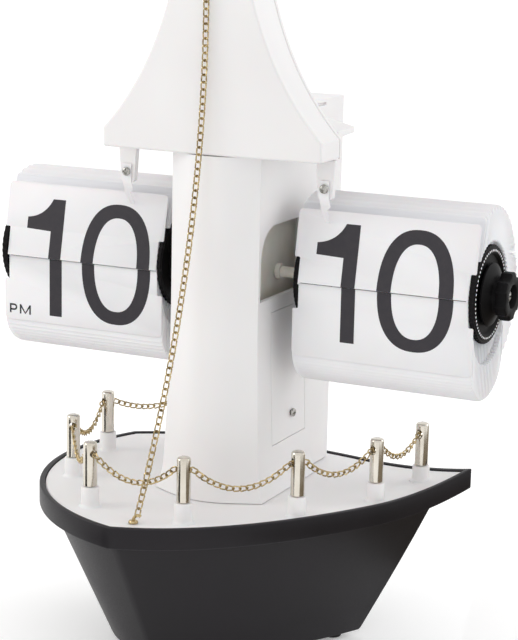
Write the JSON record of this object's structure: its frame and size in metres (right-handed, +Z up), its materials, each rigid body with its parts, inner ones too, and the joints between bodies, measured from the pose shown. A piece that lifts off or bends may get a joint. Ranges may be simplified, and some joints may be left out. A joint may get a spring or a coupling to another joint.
{
  "type": "flip clock",
  "caption": "Table flip clock shaped as a sailing boat: dark hull, white railed deck, tower and sail, with split-leaf hour and minute drums on either side of the tower",
  "frame": {"origin": "middle of the object's footprint on the surface that the feet stand on", "axes": "+Z up, +X along the drum axle towards the minute drum and its setting knob, -Y towards the viewer of the time"},
  "size_m": [0.2314, 0.1498, 0.336],
  "materials": {
    "hull_plastic": "satin moulded plastic, near black",
    "white_plastic": "satin moulded plastic, warm white",
    "leaf_plastic": "thin matt sheet, white, with printed dark grey numerals",
    "black_plastic": "matt moulded plastic, black",
    "chrome_plate": "polished plate, slightly warm",
    "gold_plate": "aged gold plate",
    "steel": "bright zinc plate",
    "nylon": "natural nylon",
    "rubber": "soft black rubber",
    "cell_case": "printed metal jacket"
  },
  "bodies": {
    "body": {"hull_shell": "hull_plastic", "rim_band": "hull_plastic", "deck": "white_plastic", "tower_shell": "white_plastic", "side_cover": "white_plastic", "back_column": "white_plastic", "sail_shell": "white_plastic", "sail_back": "white_plastic", "sail_shelf": "white_plastic", "hour_bracket": "white_plastic", "minute_bracket": "white_plastic", "hour_leaf_pack": "leaf_plastic", "hour_lower_leaf": "leaf_plastic", "minute_leaf_pack": "leaf_plastic", "minute_lower_leaf": "leaf_plastic", "hour_retaining_strip": "leaf_plastic", "minute_retaining_strip": "leaf_plastic", "post_bow": "chrome_plate", "post_fore": "chrome_plate", "post_mid": "chrome_plate", "post_aft": "chrome_plate", "post_quarter": "chrome_plate", "post_stern": "chrome_plate", "post_far_quarter": "chrome_plate", "post_far_aft": "chrome_plate", "rail_chain": "gold_plate", "stay_chain": "gold_plate", "mast_eye": "gold_plate", "deck_hook": "gold_plate", "cover_screw": "steel", "hour_strip_screw": "steel", "minute_strip_screw": "steel", "motor": "steel", "contact_positive": "steel", "contact_negative": "steel", "movement_frame": "nylon", "foot_stern_far": "rubber", "foot_stern_near": "rubber", "foot_mid_far": "rubber", "foot_mid_near": "rubber", "foot_bow": "rubber", "battery": "cell_case"},
    "minute_drum": {"minute_inner_disc": "black_plastic", "minute_outer_disc": "black_plastic", "minute_axle": "nylon", "minute_gear": "nylon", "setting_knob": "black_plastic", "knob_screw": "steel"},
    "hour_drum": {"hour_inner_disc": "black_plastic", "hour_outer_disc": "black_plastic", "hour_axle": "nylon", "hour_gear": "nylon", "hour_flange": "black_plastic"},
    "idler": {"idler_gear": "nylon"},
    "pinion": {"motor_pinion": "steel"},
    "carry": {"carry_pinion": "nylon"},
    "minute_leaf": {"minute_upper_leaf": "leaf_plastic"},
    "hour_leaf": {"hour_upper_leaf": "leaf_plastic"},
    "door": {"battery_door": "hull_plastic"}
  },
  "joints": [
    {"name": "minute_drum_spin", "type": "hinge", "parent": "body", "child": "minute_drum", "pos_m": [-0.0044, 0.01747, 0.1645], "axis": [1, 0, 0], "continuous": true},
    {"name": "hour_drum_spin", "type": "hinge", "parent": "body", "child": "hour_drum", "pos_m": [-0.0044, 0.01747, 0.1645], "axis": [1, 0, 0], "continuous": true},
    {"name": "idler_spin", "type": "hinge", "parent": "body", "child": "idler", "pos_m": [-0.0044, 0.01747, 0.14265], "axis": [1, 0, 0], "continuous": true},
    {"name": "pinion_spin", "type": "hinge", "parent": "body", "child": "pinion", "pos_m": [-0.0044, 0.01747, 0.1304], "axis": [1, 0, 0], "continuous": true},
    {"name": "carry_spin", "type": "hinge", "parent": "body", "child": "carry", "pos_m": [-0.0044, 0.01747, 0.18155], "axis": [1, 0, 0], "continuous": true},
    {"name": "minute_leaf_flip", "type": "hinge", "parent": "body", "child": "minute_leaf", "pos_m": [0.0656, -0.00213, 0.1645], "axis": [1, 0, 0], "range_deg": [0, 191], "deforming": ["minute_retaining_strip"]},
    {"name": "hour_leaf_flip", "type": "hinge", "parent": "body", "child": "hour_leaf", "pos_m": [-0.0744, -0.00213, 0.1645], "axis": [1, 0, 0], "range_deg": [0, 191], "deforming": ["hour_retaining_strip"]},
    {"name": "battery_door_hinge", "type": "hinge", "parent": "body", "child": "door", "pos_m": [-0.04473, -0.00627, 0.0025], "axis": [-0.4226, 0.9063, 0], "range_deg": [0, 95]}
  ],
  "couplings": [
    {"joint": "hour_drum_spin", "follows": "minute_drum_spin", "ratio": 0.041667},
    {"joint": "idler_spin", "follows": "minute_drum_spin", "ratio": -2},
    {"joint": "pinion_spin", "follows": "minute_drum_spin", "ratio": 3},
    {"joint": "carry_spin", "follows": "minute_drum_spin", "ratio": -0.25}
  ]
}
